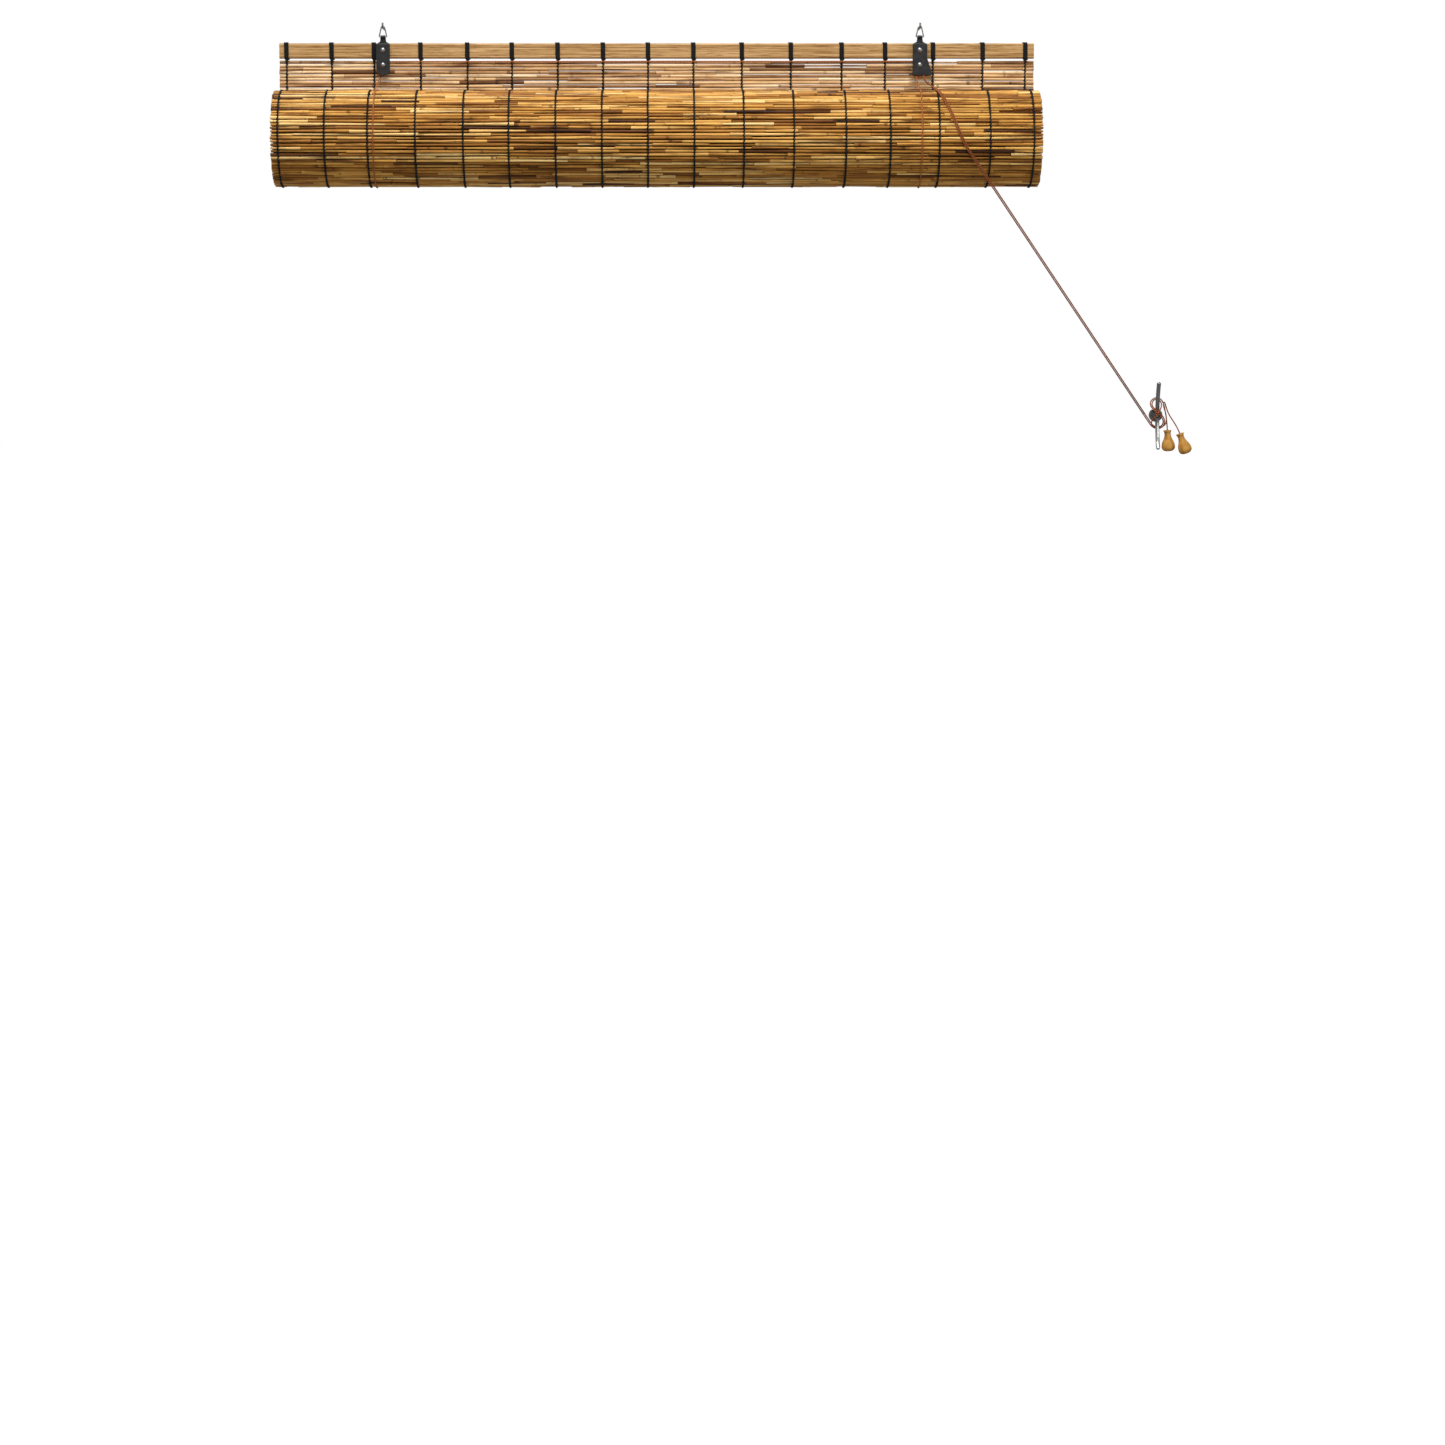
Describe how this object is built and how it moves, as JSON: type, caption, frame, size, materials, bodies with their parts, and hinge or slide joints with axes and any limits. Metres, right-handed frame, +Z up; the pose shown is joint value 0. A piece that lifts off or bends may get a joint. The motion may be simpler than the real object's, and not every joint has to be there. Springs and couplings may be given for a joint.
{
  "type": "reed roller blind",
  "caption": "Rolled-up reed roller blind on a wooden head rail, with cord-lock hanger, pulleys, lift cords, wall hooks, tasselled pull cords and a wall cleat.",
  "frame": {"origin": "midway between the two wall hooks, on the wall's face", "axes": "+X to the right along the blind, +Y into the wall, +Z up"},
  "size_m": [1.4603, 0.1907, 0.6862],
  "materials": {
    "rail_wood": "sanded wood with fine lengthwise grain",
    "reed": "natural reed, satin, with dark streaks",
    "black_cord": "twisted black cotton cord",
    "brown_cord": "thin reddish-brown braided cord",
    "black_plate": "black enamelled sheet steel",
    "bright_steel": "bright zinc-plated steel",
    "grey_wire": "grey drawn steel wire",
    "cleat_metal": "polished cast metal",
    "white_plastic": "moulded nylon",
    "brass_roller": "turned brass",
    "tassel_wood": "varnished turned wood"
  },
  "bodies": {
    "root": {"head_rail": "rail_wood", "reed_mat_drop": "reed", "rail_lashings": "black_cord", "drop_weave_cords": "black_cord", "left_lift_cord_front": "brown_cord", "left_lift_cord_back": "brown_cord", "right_lift_cord_front": "brown_cord", "right_lift_cord_back": "brown_cord", "cross_cord": "brown_cord", "pull_cord_1": "brown_cord", "pull_cord_2": "brown_cord", "left_back_plate": "black_plate", "left_front_plate": "black_plate", "right_back_plate": "black_plate", "right_front_plate": "black_plate", "pulley_axles": "bright_steel", "rail_screws": "bright_steel", "cleat_screw": "bright_steel", "wall_hooks": "grey_wire", "cord_cleat": "cleat_metal", "tassel_1": "tassel_wood", "tassel_2": "tassel_wood"},
    "sling": {"left_lift_cord_sling": "brown_cord", "right_lift_cord_sling": "brown_cord"},
    "roll": {"reed_mat_roll": "reed", "roll_weave_cords": "black_cord"},
    "left_pulley": {"left_pulley": "white_plastic"},
    "right_pulley": {"right_pulley": "white_plastic"},
    "lock_roller": {"lock_roller": "brass_roller"},
    "left_ring": {"left_ring": "grey_wire"},
    "right_ring": {"right_ring": "grey_wire"}
  },
  "joints": [
    {"name": "roll_drop", "type": "slide", "parent": "root", "child": "sling", "axis": [0, 0, -1], "range_m": [0, 1.975], "deforming": ["reed_mat_drop", "drop_weave_cords", "left_lift_cord_front", "right_lift_cord_front", "left_lift_cord_back", "right_lift_cord_back", "pull_cord_1", "pull_cord_2"]},
    {"name": "roll_turn", "type": "hinge", "parent": "sling", "child": "roll", "pos_m": [0, -0.08605, -0.1745], "axis": [1, 0, 0], "range_deg": [0, 2520]},
    {"name": "left_pulley_turn", "type": "hinge", "parent": "root", "child": "left_pulley", "pos_m": [-0.4265, -0.0207, -0.0584], "axis": [0, 1, 0], "continuous": true},
    {"name": "right_pulley_turn", "type": "hinge", "parent": "root", "child": "right_pulley", "pos_m": [0.4265, -0.0207, -0.0584], "axis": [0, 1, 0], "continuous": true},
    {"name": "lock_release", "type": "slide", "parent": "root", "child": "lock_roller", "axis": [0.3129, 0, -0.9498], "range_m": [0, 0.007]},
    {"name": "left_ring_swing", "type": "hinge", "parent": "root", "child": "left_ring", "pos_m": [-0.4265, -0.0185, -0.0138], "axis": [1, 0, 0], "range_deg": [-8, 8]},
    {"name": "right_ring_swing", "type": "hinge", "parent": "root", "child": "right_ring", "pos_m": [0.4265, -0.0185, -0.0138], "axis": [1, 0, 0], "range_deg": [-8, 8]}
  ],
  "couplings": [
    {"joint": "roll_turn", "follows": "roll_drop", "rad_per_m": 22.27},
    {"joint": "left_pulley_turn", "follows": "roll_drop", "rad_per_m": -350.88},
    {"joint": "right_pulley_turn", "follows": "roll_drop", "rad_per_m": -350.88}
  ]
}
